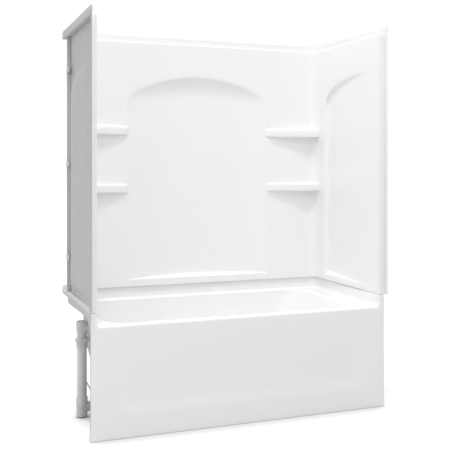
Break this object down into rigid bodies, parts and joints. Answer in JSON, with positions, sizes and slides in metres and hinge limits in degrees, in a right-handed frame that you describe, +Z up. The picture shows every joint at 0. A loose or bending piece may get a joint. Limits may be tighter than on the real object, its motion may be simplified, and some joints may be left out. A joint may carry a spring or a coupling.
{
  "type": "tub and shower combo",
  "caption": "White alcove bath with an apron, three arched wall panels with corner shelves, and a cable-operated waste and overflow at the left end.",
  "frame": {"origin": "middle of the bounding box at floor level", "axes": "+X along the back wall to the head end (right in the picture), +Y from the apron to the back wall, +Z up"},
  "size_m": [1.53, 0.804, 1.968],
  "materials": {
    "moulding": "glossy white moulding, satin on its hidden side",
    "seal": "soft matt",
    "clip": "matt moulded",
    "foot": "matt moulded",
    "pad": "soft matt",
    "pipe": "semi-matt moulded pipe and fittings",
    "chrome_trim": "polished",
    "screw": "plain steel",
    "brass_part": "turned",
    "inner_plastic": "matt moulded",
    "cable": "smooth sheath"
  },
  "bodies": {
    "unit": {"tub": "moulding", "back_wall": "moulding", "left_wall": "moulding", "right_wall": "moulding", "wall_seal": "seal", "left_wall_clips": "clip", "right_wall_clips": "clip", "support_feet": "foot", "foot_pads": "pad", "overflow_elbow": "pipe", "overflow_gasket": "seal", "overflow_plate": "chrome_trim", "overflow_screws": "screw", "overflow_nut": "pipe", "overflow_washer": "seal", "overflow_hub": "pipe", "overflow_pipe": "pipe", "waste_tee": "pipe", "waste_coupling": "pipe", "waste_pipe": "pipe", "drain_shoe": "pipe", "shoe_gasket": "seal", "drain_flange": "chrome_trim", "drain_cable": "cable", "cable_nuts": "inner_plastic"},
    "knob": {"overflow_knob": "chrome_trim", "knob_shaft": "brass_part", "cable_crank": "inner_plastic"},
    "stopper": {"stopper_cap": "chrome_trim", "stopper_seal": "seal", "stopper_stem": "brass_part", "lift_plunger": "inner_plastic"}
  },
  "joints": [
    {"name": "knob_turn", "type": "hinge", "parent": "unit", "child": "knob", "pos_m": [-0.6787, 0.0165, 0.443], "axis": [1, 0, 0], "range_deg": [0, 120]},
    {"name": "stopper_lift", "type": "slide", "parent": "unit", "child": "stopper", "axis": [0, 0, 1], "range_m": [0, 0.012]}
  ],
  "couplings": [
    {"joint": "stopper_lift", "follows": "knob_turn", "m_per_rad": 0.0057295}
  ]
}
